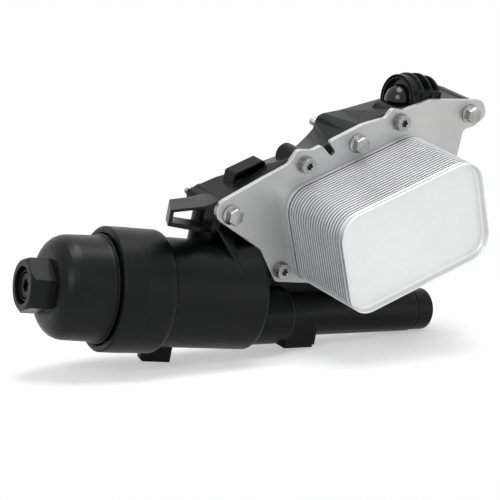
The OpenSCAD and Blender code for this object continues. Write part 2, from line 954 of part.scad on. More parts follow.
module short_screw() {
  from_plane(plate_front_y + screw_len)
    cylinder(r = screw_r, h = screw_len + eps);
  from_plane(plate_front_y)
    difference() {
      union() {
        cylinder(r = screw_flange_r, h = 1.2);
        cylinder(r = screw_flange_r - 0.8, h = screw_head_h);
      }
      translate([0, 0, screw_head_h - 2.6])
        star_recess(2.8, 2.6 + eps);
    }
}

module short_screws_visible() {
  color("gainsboro")
    for (p = [screw_left, screw_right, screw_low])
      translate([p[0], 0, p[1]])
        short_screw();
}

module short_screw_hidden() {
  color("gainsboro")
    translate([screw_under[0], 0, screw_under[1]])
      short_screw();
}

// Seals

seal_h = 2.4;
seal_outer_r = port_r + port_wall + ring_w / side;
seal_inner_r = port_r + port_wall - ring_w / side;

module port_seals() {
  color([0.1, 0.1, 0.1])
    on_cooler()
      at_each(ports)
        translate([0, 0, -plate_t - seal_h])
          tube(seal_outer_r, seal_inner_r, seal_h);
}

gasket_t = 2;
module engine_gasket() {
  color([0.1, 0.1, 0.1])
    on_cooler()
      at_each(ports)
        translate([0, 0, -plate_t - body_depth])
          tube(port_r + port_wall, port_r + port_step, gasket_t);
}

dowel_r = 4.5;
dowel_out = 5;
dowel_in = 6;
dowel_edge = 0.6;
dowel_undercut = 0.4;
dowels = [bolt_middle + [0, -14], bolt_low + [-14, 0]];
module locating_dowels() {
  color("silver")
    from_plane(dowel_out)
      at_each(dowels) {
        cylinder(r1 = dowel_r - dowel_edge, r2 = dowel_r, h = dowel_edge);
        translate([0, 0, dowel_edge])
          cylinder(r = dowel_r, h = dowel_out - dowel_edge);
        cylinder(r = dowel_r - dowel_undercut, h = dowel_out + dowel_in);
        translate([0, 0, dowel_out + dowel_edge])
          cylinder(r = dowel_r, h = dowel_in - dowel_edge);
      }
}

// Screw cap and drain plug

nose_len = land_end + mouth_depth;
cap_nose_end = -mouth_depth - 10;
o_ring_r = ring_w / side;
o_groove_floor = land_bore_r - run_gap - ring_w;
o_ring_at = -mouth_depth - 5;
hex_base = cap_out - cap_hex_h;
hex_corner_r = cap_flats / sqrt(3);
dome_foot = hex_base - cap_dome_r;
cap_front_r = cap_r - cap_draft * dome_foot;
cap_lip = 1.6;
cap_lip_w = 2;

cap_skin = concat(
  [[0, cap_nose_end]],
  [[land_bore_r - free_gap, cap_nose_end], [land_bore_r - free_gap, o_ring_at - ring_w / side - run_gap],
   [o_groove_floor, o_ring_at - ring_w / side - run_gap],
   [o_groove_floor, o_ring_at + ring_w / side + run_gap],
   [land_bore_r - free_gap, o_ring_at + ring_w / side + run_gap],
   [land_bore_r - free_gap, -mouth_depth + free_gap],
   [mouth_bore_r - thread_gap, -mouth_depth + free_gap],
   [mouth_bore_r - thread_gap, -mouth_depth + free_gap + skirt_len],
   [cap_r - 0.6, -mouth_depth + free_gap + skirt_len + 1],
   [cap_r - 0.6, cap_lip - 0.4], [cap_r + 0.3, cap_lip], [cap_r + 0.3, cap_lip + cap_lip_w],
   [cap_r, cap_lip + cap_lip_w + 0.6]],
  quarter(cap_front_r - cap_dome_r, dome_foot, cap_dome_r, 0, 90),
  [[0, hex_base]]
);

cap_bore_r = cap_r - cap_wall;
cap_bore_top = dome_foot + 5;

module filter_cap() {
  color([0.12, 0.12, 0.13])
    on_filter_axis()
      difference() {
        union() {
          rotate_extrude()
            polygon(cap_skin);
          intersection() {
            translate([0, 0, hex_base - cap_dome_r / side])
              hexagon(cap_flats, cap_hex_h + cap_dome_r / side);
            translate([0, 0, hex_base - cap_dome_r])
              cylinder(r = hex_corner_r + eps, h = cap_hex_h + cap_dome_r - 2.6);
          }
          intersection() {
            translate([0, 0, cap_out - 3])
              hexagon(cap_flats, 3);
            translate([0, 0, cap_out - 3])
              cylinder(r1 = hex_corner_r + 0.6, r2 = 15.6, h = 3);
          }
        }
        translate([0, 0, cap_nose_end - eps])
          cylinder(r = land_bore_r - cap_wall - 0.6, h = -cap_nose_end);
        translate([0, 0, -eps])
          cylinder(r = cap_bore_r, h = cap_bore_top);
        translate([0, 0, cap_bore_top - side * eps])
          cylinder(r1 = cap_bore_r, r2 = cap_bore_r - 8, h = 5);
        translate([0, 0, cap_bore_top])
          cylinder(r = plug_shank_r + run_gap, h = cap_out);
        translate([0, 0, cap_out - hex_recess_depth])
          cylinder(r = hex_recess_r, h = hex_recess_depth + eps);
      }
}

module cap_o_ring() {
  color([0.09, 0.09, 0.1])
    on_filter_axis()
      translate([0, 0, o_ring_at])
        ring(o_groove_floor + o_ring_r, o_ring_r);
}

plug_head_h = 4.4;
plug_at = cap_out - hex_recess_depth;
plug_shank_len = 15;
module drain_plug() {
  color("dimgray")
    on_filter_axis()
      difference() {
        union() {
          translate([0, 0, plug_at])
            cylinder(r = plug_head_r, h = plug_head_h);
          translate([0, 0, plug_at - plug_shank_len])
            difference() {
              cylinder(r = plug_shank_r, h = plug_shank_len + eps);
              translate([0, 0, plug_shank_len / side])
                tube(plug_shank_r + 1, plug_shank_r - plug_ring_w, plug_ring_w + run_gap * side);
            }
        }
        translate([0, 0, plug_at + plug_head_h - 3])
          star_recess(4.6, 3 + eps);
      }
}

plug_ring_w = 1.8;
module drain_plug_o_ring() {
  color([0.09, 0.09, 0.1])
    on_filter_axis()
      translate([0, 0, plug_at - plug_shank_len / side + plug_ring_w / side + run_gap])
        ring(plug_shank_r - plug_ring_w / side, plug_ring_w / side);
}

// Filter element

element_from = bowl_bottom + element_room;
pleat_len = element_to - element_from;

module filter_pleats() {
  inner = pleat_r - pleat_depth;
  color("wheat")
    on_filter_axis()
      translate([0, 0, element_from])
        linear_extrude(pleat_len)
          difference() {
            polygon([for (i = [0 : pleat_count * side - 1])
              arc_point([0, 0], i % side == 0 ? pleat_r : inner + 2.4, i * 180 / pleat_count)]);
            polygon([for (i = [0 : pleat_count * side - 1])
              arc_point([0, 0], i % side == 0 ? pleat_r - 2.4 : inner, i * 180 / pleat_count)]);
          }
}

core_r = 13.6;
module element_core() {
  color("dimgray")
    on_filter_axis()
      translate([0, 0, element_from])
        difference() {
          tube(core_r, element_bore_r + 0.4, pleat_len);
          for (z = [12 : 14 : pleat_len - 12], a = [0 : 60 : 120])
            translate([0, 0, z])
              rotate([90, 0, a])
                cylinder(r = 3.4, h = core_r * side + 2, center = true, $fn = 24);
        }
}

module element_outer_end() {
  color("dimgray")
    on_filter_axis()
      translate([0, 0, element_to])
        tube(pleat_r + 1, standpipe_r + free_gap, end_cap_t);
}

module element_inner_end() {
  color("dimgray")
    on_filter_axis()
      translate([0, 0, element_from - end_cap_t])
        tube(pleat_r + 1, standpipe_r + ring_w, end_cap_t);
}

module element_seal() {
  color([0.1, 0.1, 0.1])
    on_filter_axis()
      translate([0, 0, element_from - end_cap_t])
        tube(standpipe_r + ring_w - eps, standpipe_r + run_gap, end_cap_t);
}

poppet_t = 2;
seat_h = 3;
seat_hole_r = 4.6;
spring_wire_r = 0.5;
spring_step = 2.8;
bypass_spring_h = 14;
standpipe_press = 2.4;
tip_gap = 0.8;
standpipe_top = plug_at - plug_shank_len - tip_gap;
bypass_at = standpipe_top - seat_h;
spring_seat_at = bypass_at - poppet_t - bypass_spring_h;
standpipe_bore_r = standpipe_r - standpipe_wall;
bypass_spring_r = standpipe_bore_r - spring_wire_r - 1.4;
poppet_r = bypass_spring_r + spring_wire_r + free_gap;
stem_r = 1.6;
stem_len = 9;
wing_w = 1.6;
wing_len = 5;
elbow_r = 6;
elbow_drop = 40;
elbow_len = 26;
elbow_back = 4;
slot_hole_r = 3;
slot_pitch = 16;
slot_margin = 14;

// Seat of the standpipe in the bowl's floor, and the passage from it into the pipe
module standpipe_seat() {
  on_filter_axis()
    translate([0, 0, bowl_bottom - standpipe_press])
      cylinder(r = standpipe_r, h = standpipe_press + eps);
  translate([neck_at[0] - tube_end * cos(bowl_lean) - elbow_back, plate_back_y, neck_at[2]])
    rotate([0, 90 + elbow_drop, 0])
      cylinder(r = elbow_r, h = elbow_len);
}

module standpipe() {
  color([0.2, 0.2, 0.2])
    on_filter_axis()
      difference() {
        translate([0, 0, bowl_bottom - standpipe_press])
          cylinder(r = standpipe_r, h = standpipe_top - bowl_bottom + standpipe_press);
        translate([0, 0, bowl_bottom - standpipe_press - eps])
          cylinder(r = standpipe_bore_r, h = spring_seat_at - standpipe_wall - bowl_bottom + standpipe_press);
        cylinder(r = standpipe_bore_r - spring_step, h = spring_seat_at);
        translate([0, 0, spring_seat_at])
          cylinder(r = standpipe_bore_r, h = standpipe_top - spring_seat_at + eps);
        for (z = [element_from + slot_margin : slot_pitch : spring_seat_at - slot_margin], a = [0, 90])
          translate([0, 0, z])
            rotate([90, 0, a])
              cylinder(r = slot_hole_r, h = standpipe_r * side + side, center = true);
      }
}

// Bypass valve in the top of the standpipe

module bypass_seat() {
  color("silver")
    on_filter_axis()
      translate([0, 0, bypass_at])
        tube(standpipe_bore_r, seat_hole_r, seat_h);
}

// Disc with a stem, guided in the standpipe by four wings outside the spring
module bypass_poppet() {
  color("silver")
    on_filter_axis()
      translate([0, 0, bypass_at - poppet_t]) {
        cylinder(r = poppet_r, h = poppet_t);
        translate([0, 0, -stem_len])
          cylinder(r = stem_r, h = stem_len + eps);
        intersection() {
          poppet_wings();
          translate([0, 0, -wing_len])
            tube(standpipe_bore_r - run_gap, bypass_spring_r + spring_wire_r + free_gap / side, wing_len + poppet_t - eps);
        }
      }
}

module poppet_wings() {
  for (a = [0, 90])
    rotate([0, 0, a])
      translate([-standpipe_r, -wing_w / side, -wing_len])
        cube([standpipe_r * side, wing_w, wing_len + poppet_t]);
}

// Points along a spring, then a tube of short rods swept along them
function coil(r, turns, h, n) = [for (i = [0 : n]) [r * cos(i * turns * 360 / n),
  r * sin(i * turns * 360 / n), h * i / n]];

module spring_wire(r, wire, turns, h) {
  n = turns * 12;
  sides = 6;
  path = coil(r, turns, h, n);
  rings = [for (i = [0 : n]) let (a = i * turns * 360 / n)
    each [for (k = [0 : sides - 1]) let (b = k * 360 / sides)
      path[i] + wire * [cos(b) * cos(a), cos(b) * sin(a), sin(b)]]];
  skin = [for (i = [0 : n - 1], k = [0 : sides - 1])
    let (j = (k + 1) % sides)
    each [[i * sides + k, i * sides + j, (i + 1) * sides + j],
          [i * sides + k, (i + 1) * sides + j, (i + 1) * sides + k]]];
  ends = [[for (k = [sides - 1 : -1 : 0]) k], [for (k = [0 : sides - 1]) n * sides + k]];
  polyhedron(rings, concat(skin, ends));
}

module bypass_spring() {
  color("silver")
    on_filter_axis()
      translate([0, 0, spring_seat_at + spring_wire_r])
        spring_wire(bypass_spring_r, spring_wire_r, 5, bypass_spring_h - spring_wire_r * side);
}

// Plug, piston and spring in the valve socket

module valve_plug() {
  color([0.16, 0.16, 0.17])
    on_valve()
      rotate_extrude()
        polygon(concat([[0, plug_body_h], [plug_r, plug_body_h], [plug_r, plug_groove_at + ring_w],
          [plug_groove_r, plug_groove_at + ring_w], [plug_groove_r, plug_groove_at],
          [plug_r, plug_groove_at], [plug_r, plug_flat]],
          quarter(0, plug_flat, plug_dome_r, 0, -84), [[0, plug_flat - plug_dome_r]]));
}

module valve_plug_o_ring() {
  color([0.09, 0.09, 0.1])
    on_valve()
      translate([0, 0, plug_groove_at + ring_w / side])
        ring(valve_mouth_r - ring_w / side, ring_w / side - run_gap);
}

module valve_piston() {
  color("silver")
    on_valve()
      translate([0, 0, piston_from])
        difference() {
          cylinder(r = piston_r, h = piston_len);
          translate([0, 0, -eps])
            cylinder(r = piston_r - piston_wall, h = piston_len - piston_end);
        }
}

valve_spring_r = piston_r - piston_wall - spring_wire_r - free_gap;
module valve_spring() {
  spring_len = piston_from + piston_len - piston_end - plug_body_h - spring_wire_r * side;
  color("silver")
    on_valve()
      translate([0, 0, plug_body_h + spring_wire_r])
        spring_wire(valve_spring_r, spring_wire_r, 4, spring_len);
}

// Spring clip and ring of the outlet's socket

module outlet_clip() {
  color("silver")
    on_pipe()
      translate([0, 0, clip_slot_at])
        intersection() {
          ring(socket_bore_r + ring_w / side + 1.4, 0.9);
          translate([-pipe_r, socket_bore_r + ring_w / side + 0.3, -2])
            cube([pipe_r * side, pipe_r, 4]);
        }
}

module outlet_o_ring() {
  color([0.09, 0.09, 0.1])
    on_pipe()
      translate([0, 0, pipe_len - socket_depth - ring_w / side])
        ring(socket_bore_r + 1 - ring_w / side, ring_w / side - run_gap);
}

filter_housing();
cooler_mounting_plate();
cooler_base_dish();
cooler_dish_stack();
cooler_front_dish();
long_bolts_upper();
long_bolt_lower();
compression_sleeves();
short_screws_visible();
short_screw_hidden();
port_seals();
engine_gasket();
locating_dowels();
filter_cap();
cap_o_ring();
drain_plug();
drain_plug_o_ring();
filter_pleats();
element_outer_end();
element_inner_end();
element_core();
element_seal();
standpipe();
bypass_poppet();
bypass_spring();
bypass_seat();
valve_plug();
valve_plug_o_ring();
valve_piston();
valve_spring();
outlet_clip();
outlet_o_ring();
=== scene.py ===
import math

import bmesh
import bpy
from mathutils import Matrix, Vector


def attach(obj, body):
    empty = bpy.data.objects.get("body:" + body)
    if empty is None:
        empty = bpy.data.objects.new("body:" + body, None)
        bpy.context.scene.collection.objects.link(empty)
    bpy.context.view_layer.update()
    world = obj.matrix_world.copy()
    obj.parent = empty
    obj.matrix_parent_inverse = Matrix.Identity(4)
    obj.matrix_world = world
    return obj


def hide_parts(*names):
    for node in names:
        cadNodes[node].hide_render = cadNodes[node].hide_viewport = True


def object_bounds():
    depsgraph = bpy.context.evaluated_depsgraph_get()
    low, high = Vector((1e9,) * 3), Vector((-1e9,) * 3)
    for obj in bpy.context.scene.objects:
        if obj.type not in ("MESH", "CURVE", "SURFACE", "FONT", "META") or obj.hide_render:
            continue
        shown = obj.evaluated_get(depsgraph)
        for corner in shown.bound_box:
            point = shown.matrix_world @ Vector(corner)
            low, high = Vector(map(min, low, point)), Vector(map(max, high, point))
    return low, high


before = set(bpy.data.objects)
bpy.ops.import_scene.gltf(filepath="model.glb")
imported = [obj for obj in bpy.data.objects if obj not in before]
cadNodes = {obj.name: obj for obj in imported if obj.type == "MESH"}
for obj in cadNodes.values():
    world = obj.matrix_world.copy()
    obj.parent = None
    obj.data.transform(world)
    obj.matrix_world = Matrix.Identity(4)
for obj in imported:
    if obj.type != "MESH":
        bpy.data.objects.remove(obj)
cadLow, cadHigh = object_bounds()
print("frame loaded with", len(cadNodes), "nodes")


# Camera, at the photograph's place
photoCamera = {
    "place": (-0.99485, -1.19391, 0.34521),
    "right": (0.79945, -0.56851, 0.19411),
    "up": (0.00876, 0.33411, 0.94249),
    "lens": 171.62,
    "sensor": 36.0,
    "nearest": 0.05,
    "farthest": 20,
}


def makeCamera(setting):
    data = bpy.data.cameras.new("photoCamera")
    camera = bpy.data.objects.new("photoCamera", data)
    bpy.context.scene.collection.objects.link(camera)
    right = Vector(setting["right"]).normalized()
    back = right.cross(Vector(setting["up"])).normalized()
    up = back.cross(right)
    turn = Matrix((right, up, back)).transposed().to_4x4()
    camera.matrix_world = Matrix.Translation(setting["place"]) @ turn
    data.lens = setting["lens"]
    data.sensor_width = setting["sensor"]
    data.clip_start = setting["nearest"]
    data.clip_end = setting["farthest"]
    bpy.context.scene.camera = camera
    print("camera placed")


# Shader helpers: each takes the tree and gives back a socket
sampling = {"edge": 4, "creaseShade": 6}


def startMaterial(name):
    material = bpy.data.materials.new(name)
    material.use_nodes = True
    tree = material.node_tree
    shader = next(n for n in tree.nodes if n.type == "BSDF_PRINCIPLED")
    return material, tree, shader


def objectPlace(tree, stretch=(1, 1, 1)):
    place = tree.nodes.new("ShaderNodeTexCoord")
    mapping = tree.nodes.new("ShaderNodeMapping")
    mapping.inputs["Scale"].default_value = stretch
    tree.links.new(place.outputs["Object"], mapping.inputs["Vector"])
    return mapping.outputs["Vector"]


def noise(tree, scale, detail=3.0, rough=0.55, stretch=(1, 1, 1)):
    grain = tree.nodes.new("ShaderNodeTexNoise")
    grain.inputs["Scale"].default_value = scale
    grain.inputs["Detail"].default_value = detail
    grain.inputs["Roughness"].default_value = rough
    tree.links.new(objectPlace(tree, stretch), grain.inputs["Vector"])
    return grain.outputs["Fac"]


def spread(tree, value, low, high, fromLow=0.3, fromHigh=0.7):
    span = tree.nodes.new("ShaderNodeMapRange")
    span.inputs["From Min"].default_value = fromLow
    span.inputs["From Max"].default_value = fromHigh
    span.inputs["To Min"].default_value = low
    span.inputs["To Max"].default_value = high
    tree.links.new(value, span.inputs["Value"])
    return span.outputs["Result"]


def blendColour(tree, share, first, second):
    mix = tree.nodes.new("ShaderNodeMix")
    mix.data_type = "RGBA"
    tree.links.new(share, mix.inputs["Factor"])
    for socket, colour in ((mix.inputs["A"], first), (mix.inputs["B"], second)):
        if isinstance(colour, bpy.types.NodeSocket):
            tree.links.new(colour, socket)
        else:
            socket.default_value = (*colour, 1)
    return mix.outputs["Result"]


def softEdge(tree, radius):
    edge = tree.nodes.new("ShaderNodeBevel")
    edge.samples = sampling["edge"]
    edge.inputs["Radius"].default_value = radius
    return edge.outputs["Normal"]


# Painted highlight mask: the share of a surface where the bevel normal turns away from the
# face normal, near edges, where a lighter edge colour is laid
def edgeShare(tree, radius, low=0.02, high=0.3):
    edge = softEdge(tree, radius)
    flat = tree.nodes.new("ShaderNodeNewGeometry").outputs["Normal"]
    dot = tree.nodes.new("ShaderNodeVectorMath")
    dot.operation = "DOT_PRODUCT"
    tree.links.new(edge, dot.inputs[0])
    tree.links.new(flat, dot.inputs[1])
    return spread(tree, dot.outputs["Value"], 1, 0, 1 - high, 1 - low)


# Painted shade mask from ambient occlusion: low in creases, recesses and seams where shade
# falls, 1 in the open
def creaseShare(tree, reach, deepest=0.25, shallowest=0.85):
    creaseShade = tree.nodes.new("ShaderNodeAmbientOcclusion")
    creaseShade.samples = sampling["creaseShade"]
    creaseShade.inputs["Distance"].default_value = reach
    return spread(tree, creaseShade.outputs["AO"], 0, 1, deepest, shallowest)


def bump(tree, height, strength, distance, below=None):
    node = tree.nodes.new("ShaderNodeBump")
    node.inputs["Strength"].default_value = strength
    node.inputs["Distance"].default_value = distance
    tree.links.new(height, node.inputs["Height"])
    if below is not None:
        tree.links.new(below, node.inputs["Normal"])
    return node.outputs["Normal"]


def mouldedPlastic(name, look):
    material, tree, shader = startMaterial(name)
    cloud = noise(tree, look["cloudScale"], look["cloudDetail"])
    grain = noise(tree, look["grainScale"], look["grainDetail"])
    wave = noise(tree, look["waveScale"], look["waveDetail"])
    # painted highlight: edges get the lighter edge colour
    edgeHighlight = edgeShare(tree, look["edge"])
    body = blendColour(tree, spread(tree, cloud, 0, 1), look["dark"], look["light"])
    colour = blendColour(tree, edgeHighlight, body, look["edgeHighlight"])
    tree.links.new(colour, shader.inputs["Base Color"])
    tree.links.new(spread(tree, cloud, *look["rough"]), shader.inputs["Roughness"])
    shader.inputs["Specular IOR Level"].default_value = look["specular"]
    edge = softEdge(tree, look["edge"])
    waves = bump(tree, wave, look["wave"], look["waveHeight"], edge)
    fine = bump(tree, grain, look["grain"], look["grainHeight"], waves)
    tree.links.new(fine, shader.inputs["Normal"])
    return material


def metal(name, look):
    material, tree, shader = startMaterial(name)
    cloud = noise(tree, look["cloudScale"], *look["cloudGrain"])
    brushed = noise(tree, look["brushScale"], *look["brushGrain"], look["brush"])
    body = blendColour(tree, spread(tree, cloud, 0, 1), look["dark"], look["light"])
    # painted highlight along edges, then painted shade in creases and recesses
    colour = blendColour(tree, edgeShare(tree, look["edge"]), body, look["edgeHighlight"])
    # painted shade: creases, seams and recesses found by ambient occlusion get the darker
    # colour
    unshadedShare = creaseShare(tree, look["creaseReach"])
    colour = blendColour(tree, unshadedShare, look["creaseShade"], colour)
    tree.links.new(colour, shader.inputs["Base Color"])
    shader.inputs["Metallic"].default_value = look["metallic"]
    tree.links.new(spread(tree, brushed, *look["rough"]), shader.inputs["Roughness"])
    edge = softEdge(tree, look["edge"])
    fine = bump(tree, brushed, look["grain"], look["grainHeight"], edge)
    tree.links.new(fine, shader.inputs["Normal"])
    return material


# The lighter edge colour in each look is a painted highlight laid along edges
housingLook = {
    "dark": (0.0034, 0.0037, 0.0041),
    "light": (0.005, 0.0053, 0.0057),
    "edgeHighlight": (0.016, 0.016, 0.017),
    "cloudScale": 60,
    "cloudDetail": 4,
    "waveScale": 220,
    "waveDetail": 1,
    "waveHeight": 0.0004,
    "grainScale": 2600,
    "grainDetail": 2,
    "grainHeight": 0.00005,
    "rough": (0.3, 0.4),
    "specular": 0.13,
    "wave": 0.1,
    "grain": 0.25,
    "edge": 0.0012,
}
capLook = {**housingLook, "specular": 0.15, "rough": (0.3, 0.38), "grain": 0.3}
plugLook = {
    **housingLook,
    "rough": (0.1, 0.16),
    "grain": 0.05,
    "wave": 0.05,
    "specular": 0.35,
}
innerLook = {
    **housingLook,
    "dark": (0.012, 0.013, 0.014),
    "light": (0.02, 0.021, 0.022),
    "specular": 0.3,
}
rubberLook = {
    **housingLook,
    "dark": (0.008, 0.008, 0.008),
    "light": (0.014, 0.014, 0.014),
    "rough": (0.6, 0.75),
    "edge": 0.0002,
}
faceLook = {
    "dark": (0.69, 0.71, 0.705),
    "light": (0.74, 0.755, 0.75),
    "edgeHighlight": (0.84, 0.85, 0.85),
    "cloudScale": 26,
    "cloudGrain": (5, 0.6),
    "brushScale": 500,
    "brushGrain": (2, 0.5),
    "brush": (1, 1, 1),
    "metallic": 0.75,
    "rough": (0.42, 0.55),
    "grain": 0.2,
    "grainHeight": 0.00004,
    "edge": 0.0005,
    # painted shade: the darker colour laid in creases, seams and recesses, and how far it
    # reaches
    "creaseShade": (0.45, 0.46, 0.47),
    "creaseReach": 0.003,
}
stackLook = {
    **faceLook,
    "dark": (0.6, 0.615, 0.625),
    "light": (0.74, 0.75, 0.76),
    "edgeHighlight": (0.88, 0.89, 0.9),
    "metallic": 0.8,
    "rough": (0.36, 0.5),
    "edge": 0.0002,
    "creaseShade": (0.11, 0.115, 0.12),
    "creaseReach": 0.0016,
}
plateLook = {
    **faceLook,
    "dark": (0.42, 0.42, 0.42),
    "light": (0.5, 0.5, 0.495),
    "edgeHighlight": (0.8, 0.8, 0.8),
    "brushScale": 900,
    "brush": (0.12, 1, 1),
    "metallic": 0.85,
    "rough": (0.36, 0.48),
    "edge": 0.0006,
}
boltLook = {
    **faceLook,
    "dark": (0.29, 0.29, 0.29),
    "light": (0.39, 0.39, 0.385),
    "edgeHighlight": (0.66, 0.66, 0.66),
    "cloudScale": 300,
    "metallic": 1.0,
    "rough": (0.24, 0.32),
    "grain": 0.05,
    "edge": 0.0003,
    "creaseShade": (0.04, 0.04, 0.04),
    "creaseReach": 0.003,
}
steelLook = {
    **boltLook,
    "dark": (0.35, 0.35, 0.36),
    "light": (0.48, 0.48, 0.49),
    "edge": 0.0002,
}
paperLook = {
    "dark": (0.62, 0.47, 0.24),
    "light": (0.78, 0.64, 0.38),
    "fibreScale": 900,
    "fibreGrain": (6, 0.7),
    "rough": 0.85,
    "sheen": 0.3,
    "grain": 0.5,
    "grainHeight": 0.0001,
}


def filterPaper(name, look):
    material, tree, shader = startMaterial(name)
    fibre = noise(tree, look["fibreScale"], *look["fibreGrain"])
    colour = blendColour(tree, spread(tree, fibre, 0, 1), look["dark"], look["light"])
    tree.links.new(colour, shader.inputs["Base Color"])
    shader.inputs["Roughness"].default_value = look["rough"]
    shader.inputs["Sheen Weight"].default_value = look["sheen"]
    fine = bump(tree, fibre, look["grain"], look["grainHeight"])
    tree.links.new(fine, shader.inputs["Normal"])
    return material


finishes = {
    "housingBlack": mouldedPlastic("housingBlack", housingLook),
    "capBlack": mouldedPlastic("capBlack", capLook),
    "domeBlack": mouldedPlastic("domeBlack", plugLook),
    "innerNylon": mouldedPlastic("innerNylon", innerLook),
    "blackRubber": mouldedPlastic("blackRubber", rubberLook),
    "coolerFace": metal("coolerFace", faceLook),
    "coolerStack": metal("coolerStack", stackLook),
    "plateMetal": metal("plateMetal", plateLook),
    "zincBolt": metal("zincBolt", boltLook),
    "plainSteel": metal("plainSteel", steelLook),
    "pleatPaper": filterPaper("pleatPaper", paperLook),
}
nodeFinish = {
    "filter_housing": "housingBlack",
    "cooler_mounting_plate": "plateMetal",
    "cooler_base_dish": "coolerStack",
    "cooler_dish_stack": "coolerStack",
    "cooler_front_dish": "coolerFace",
    "long_bolts_upper": "zincBolt",
    "long_bolt_lower": "zincBolt",
    "compression_sleeves": "plainSteel",
    "short_screws_visible": "zincBolt",
    "short_screw_hidden": "zincBolt",
    "port_seals": "blackRubber",
    "engine_gasket": "blackRubber",
    "locating_dowels": "plainSteel",
    "filter_cap": "capBlack",
    "cap_o_ring": "blackRubber",
    "drain_plug": "capBlack",
    "drain_plug_o_ring": "blackRubber",
    "filter_pleats": "pleatPaper",
    "element_outer_end": "innerNylon",
    "element_inner_end": "innerNylon",
    "element_core": "innerNylon",
    "element_seal": "blackRubber",
    "standpipe": "innerNylon",
    "bypass_poppet": "innerNylon",
    "bypass_spring": "plainSteel",
    "bypass_seat": "plainSteel",
    "valve_plug": "domeBlack",
    "valve_plug_o_ring": "blackRubber",
    "valve_piston": "plainSteel",
    "valve_spring": "plainSteel",
    "outlet_clip": "plainSteel",
    "outlet_o_ring": "blackRubber",
}
for nodeName, finish in nodeFinish.items():
    mesh = cadNodes[nodeName].data
    mesh.materials.clear()
    mesh.materials.append(finishes[finish])
print("finishes given to", len(nodeFinish), "nodes")


# Shapes: each helper works on a bmesh in the piece's own frame, and finishPiece places it


def finishPiece(name, shape, place, materials, body):
    bmesh.ops.recalc_face_normals(shape, faces=shape.faces)
    bmesh.ops.transform(shape, matrix=place, verts=shape.verts)
    mesh = bpy.data.meshes.new(name)
    shape.to_mesh(mesh)
    shape.free()
    for material in materials:
        mesh.materials.append(finishes[material])
    piece = bpy.data.objects.new(name, mesh)
    bpy.context.scene.collection.objects.link(piece)
    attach(piece, body)
    return piece


def shadeSmooth(shape, sharpest):
    for face in shape.faces:
        face.smooth = True
    for edge in shape.edges:
        edge.smooth = edge.calc_face_angle(0) < math.radians(sharpest)


def joinShapes(whole, part):
    if whole is None:
        return part
    mesh = bpy.data.meshes.new("joinedPart")
    part.to_mesh(mesh)
    part.free()
    whole.from_mesh(mesh)
    bpy.data.meshes.remove(mesh)
    return whole


# Cooler: nested dishes brazed into a stack, and the tray-shaped dish in front.
# A curve's rows pair a share of a height with an inset in metres.
cooler = {
    "corner": (-0.025, -0.037, -0.1006),
    "tilt": 24.1,
    "width": 0.1154,
    "height": 0.0718,
    "cornerRadius": 0.0164,
    "cornerSteps": 12,
    "stackFrom": 0.0034,
    "stackTo": 0.056,
    "dishes": 20,
    "seam": 0.0014,
    "seamTop": 0.22,
    "wallFrom": 0.26,
    "wallLean": 0.0005,
    "rimHeight": 0.0007,
    "rimCurve": ((0.85, 0.0001), (0.15, 0), (0, 0.00015)),
    "sharpest": 40,
}
frontDish = {
    "front": 0.0624,
    "sink": 0.0044,
    "baseRise": 0.0003,
    "baseCurve": ((0.7, 0.0003), (0.75, 0), (1, 0.0001)),
    "wallRise": 0.0001,
    "wallInset": 0.0003,
    "lip": 0.0009,
    "lipDrop": 1.6,
    "lipRise": 0.6,
    "lipWidth": 1.3,
    "lipSteps": 6,
    "fillet": 0.0018,
    "filletSteps": 5,
    "filletGap": 0.0002,
}


def coolerPlace(setting):
    tilt = math.radians(setting["tilt"])
    along = Vector((math.cos(tilt), 0, math.sin(tilt)))
    up = Vector((-math.sin(tilt), 0, math.cos(tilt)))
    out = along.cross(up)
    turn = Matrix((along, up, out)).transposed().to_4x4()
    return Matrix.Translation(setting["corner"]) @ turn


def fitOutline(verts, setting, inset):
    radius = setting["cornerRadius"]
    for vert in verts:
        coreX = min(max(vert.co.x, radius), setting["width"] - radius)
        coreY = min(max(vert.co.y, radius), setting["height"] - radius)
        away = Vector((vert.co.x - coreX, vert.co.y - coreY, 0)).normalized()
        vert.co.x = coreX + away.x * (radius - inset)
        vert.co.y = coreY + away.y * (radius - inset)


def startOutline(setting, z, inset):
    shape = bmesh.new()
    bmesh.ops.create_grid(shape, x_segments=1, y_segments=1, size=0.5)
    for vert in shape.verts:
        across, up = vert.co.x + 0.5, vert.co.y + 0.5
        vert.co = (across * setting["width"], up * setting["height"], z)
    bmesh.ops.bevel(
        shape,
        geom=list(shape.verts),
        offset=setting["cornerRadius"],
        affect="VERTICES",
        segments=setting["cornerSteps"],
        profile=0.5,
        material=-1,
    )
    fitOutline(shape.verts, setting, inset)
    return shape, list(shape.faces)


def raiseOutline(shape, top, setting, z, inset, slot=0):
    walls = set(shape.faces)
    raised = bmesh.ops.extrude_face_region(shape, geom=top)["geom"]
    if len(walls) > 1:
        bmesh.ops.delete(shape, geom=top, context="FACES_ONLY")
    verts = [part for part in raised if isinstance(part, bmesh.types.BMVert)]
    faces = [part for part in raised if isinstance(part, bmesh.types.BMFace)]
    for vert in verts:
        vert.co.z = z
    fitOutline(verts, setting, inset)
    for face in shape.faces:
        if face not in walls:
            face.material_index = slot
    return faces


def dishPitch(setting):
    return (setting["stackTo"] - setting["stackFrom"]) / setting["dishes"]


def finishCooler(name, shape, setting, materials):
    shadeSmooth(shape, setting["sharpest"])
    place = coolerPlace(setting)
    return finishPiece(name, shape, place, materials, "housing")


